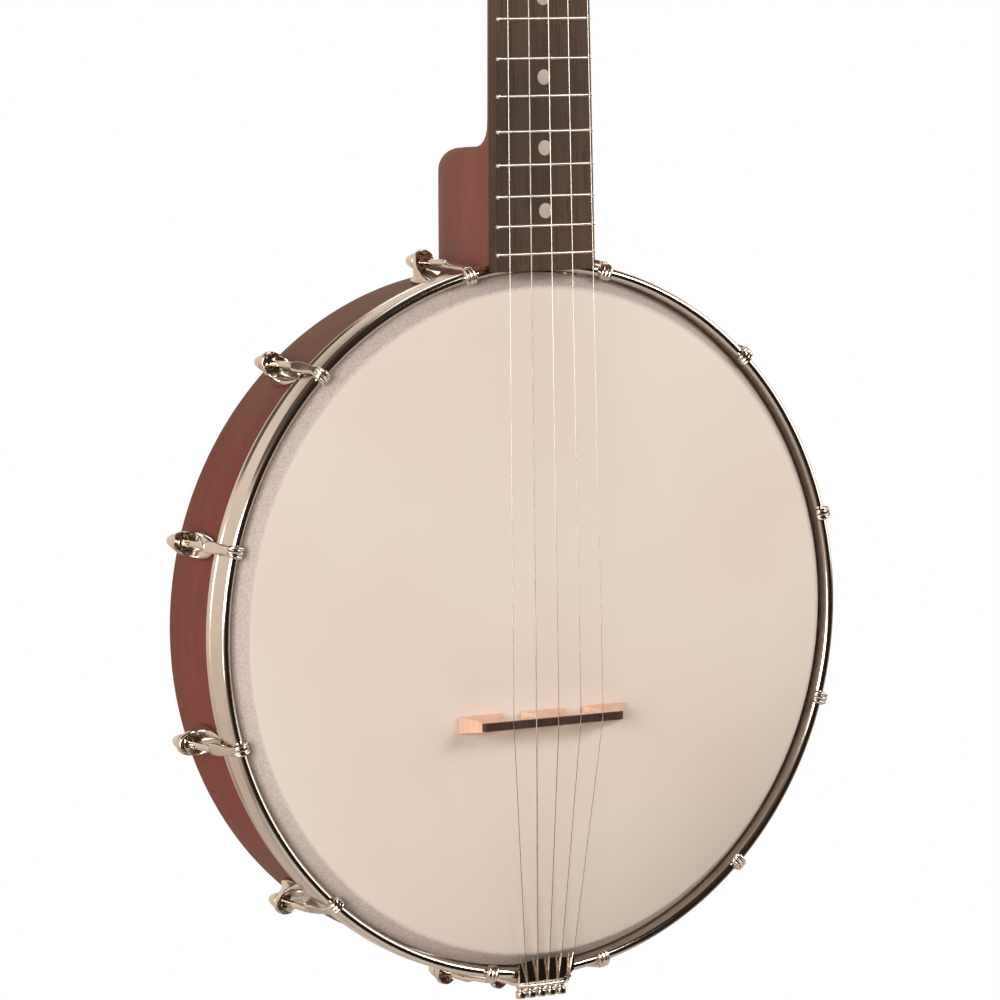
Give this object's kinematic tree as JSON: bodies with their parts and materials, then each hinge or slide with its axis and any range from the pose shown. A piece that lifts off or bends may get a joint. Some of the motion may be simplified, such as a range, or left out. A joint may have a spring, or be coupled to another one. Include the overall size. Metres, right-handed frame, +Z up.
{
  "type": "banjo",
  "caption": "Open-back banjo with a round wooden pot, frosted head, nickel hoop, hooks and shoes, long fretted neck, geared tuners and a side peg for its short drone string.",
  "frame": {"origin": "The point where a wall hanger or stand yoke holds the neck, just behind and above the nut, on the pot centre line", "axes": "+Z up the neck towards the peghead, +Y from the head to the open back, +X towards the treble side"},
  "size_m": [0.2961, 0.0811, 0.9515],
  "materials": {
    "mahogany": "satin lacquer over reddish brown wood",
    "rosewood": "bare dark wood, lightly oiled",
    "maple": "bare, fine grained",
    "ebony": "bare, nearly black, smooth",
    "nickel_plate": "bright nickel plating",
    "string_steel": "drawn wire",
    "rod_steel": "plain steel",
    "brass_ring": "turned, dull",
    "frosted_head": "frosted coating",
    "bone": "smooth",
    "pearl_plastic": "cream pearloid",
    "black_plastic": "satin"
  },
  "bodies": {
    "banjo": {"rim": "mahogany", "tone_ring": "brass_ring", "head": "frosted_head", "tension_hoop": "nickel_plate", "flesh_hoop": "nickel_plate", "bracket_hook_01": "nickel_plate", "bracket_hook_02": "nickel_plate", "bracket_hook_03": "nickel_plate", "bracket_hook_04": "nickel_plate", "bracket_hook_05": "nickel_plate", "bracket_hook_06": "nickel_plate", "bracket_hook_07": "nickel_plate", "bracket_hook_08": "nickel_plate", "bracket_hook_09": "nickel_plate", "bracket_hook_10": "nickel_plate", "bracket_hook_11": "nickel_plate", "bracket_hook_12": "nickel_plate", "bracket_shoe_01": "nickel_plate", "bracket_shoe_02": "nickel_plate", "bracket_shoe_03": "nickel_plate", "bracket_shoe_04": "nickel_plate", "bracket_shoe_05": "nickel_plate", "bracket_shoe_06": "nickel_plate", "bracket_shoe_07": "nickel_plate", "bracket_shoe_08": "nickel_plate", "bracket_shoe_09": "nickel_plate", "bracket_shoe_10": "nickel_plate", "bracket_shoe_11": "nickel_plate", "bracket_shoe_12": "nickel_plate", "tailpiece_shoe": "nickel_plate", "neck": "mahogany", "fingerboard": "rosewood", "nut": "bone", "fifth_string_nut": "bone", "string_1": "string_steel", "string_2": "string_steel", "string_3": "string_steel", "string_4": "string_steel", "string_5": "string_steel", "bridge_base": "maple", "bridge_cap": "ebony", "tailpiece": "nickel_plate", "tailpiece_hanger": "nickel_plate", "coordinator_rod": "rod_steel", "rod_nut": "rod_steel", "truss_rod_cover": "black_plastic", "tuner_housing_1": "nickel_plate", "tuner_housing_2": "nickel_plate", "tuner_housing_3": "nickel_plate", "tuner_housing_4": "nickel_plate", "fifth_peg_bushing": "nickel_plate"},
    "button_1": {"tuner_button_1": "pearl_plastic"},
    "post_1": {"tuner_post_1": "nickel_plate"},
    "button_2": {"tuner_button_2": "pearl_plastic"},
    "post_2": {"tuner_post_2": "nickel_plate"},
    "button_3": {"tuner_button_3": "pearl_plastic"},
    "post_3": {"tuner_post_3": "nickel_plate"},
    "button_4": {"tuner_button_4": "pearl_plastic"},
    "post_4": {"tuner_post_4": "nickel_plate"},
    "fifth_peg": {"fifth_peg": "pearl_plastic"}
  },
  "joints": [
    {"name": "button_1_turn", "type": "hinge", "parent": "banjo", "child": "button_1", "pos_m": [-0.01505, 0.02944, 0.03445], "axis": [0, 0.9723, -0.2337], "continuous": true},
    {"name": "post_1_turn", "type": "hinge", "parent": "banjo", "child": "post_1", "pos_m": [-0.01505, 0.00805, 0.0396], "axis": [0, 0.9723, -0.2337], "continuous": true},
    {"name": "button_2_turn", "type": "hinge", "parent": "banjo", "child": "button_2", "pos_m": [0.02295, 0.02944, 0.03445], "axis": [0, 0.9723, -0.2337], "continuous": true},
    {"name": "post_2_turn", "type": "hinge", "parent": "banjo", "child": "post_2", "pos_m": [0.02295, 0.00805, 0.0396], "axis": [0, 0.9723, -0.2337], "continuous": true},
    {"name": "button_3_turn", "type": "hinge", "parent": "banjo", "child": "button_3", "pos_m": [-0.01505, 0.04206, 0.08696], "axis": [0, 0.9723, -0.2337], "continuous": true},
    {"name": "post_3_turn", "type": "hinge", "parent": "banjo", "child": "post_3", "pos_m": [-0.01505, 0.02067, 0.0921], "axis": [0, 0.9723, -0.2337], "continuous": true},
    {"name": "button_4_turn", "type": "hinge", "parent": "banjo", "child": "button_4", "pos_m": [0.02295, 0.04206, 0.08696], "axis": [0, 0.9723, -0.2337], "continuous": true},
    {"name": "post_4_turn", "type": "hinge", "parent": "banjo", "child": "post_4", "pos_m": [0.02295, 0.02067, 0.0921], "axis": [0, 0.9723, -0.2337], "continuous": true},
    {"name": "fifth_peg_turn", "type": "hinge", "parent": "banjo", "child": "fifth_peg", "pos_m": [-0.01655, -0.00063, -0.17429], "axis": [-1, 0, 0], "continuous": true}
  ],
  "couplings": [
    {"joint": "post_1_turn", "follows": "button_1_turn", "ratio": 0.25},
    {"joint": "post_2_turn", "follows": "button_2_turn", "ratio": 0.25},
    {"joint": "post_3_turn", "follows": "button_3_turn", "ratio": 0.25},
    {"joint": "post_4_turn", "follows": "button_4_turn", "ratio": 0.25}
  ]
}
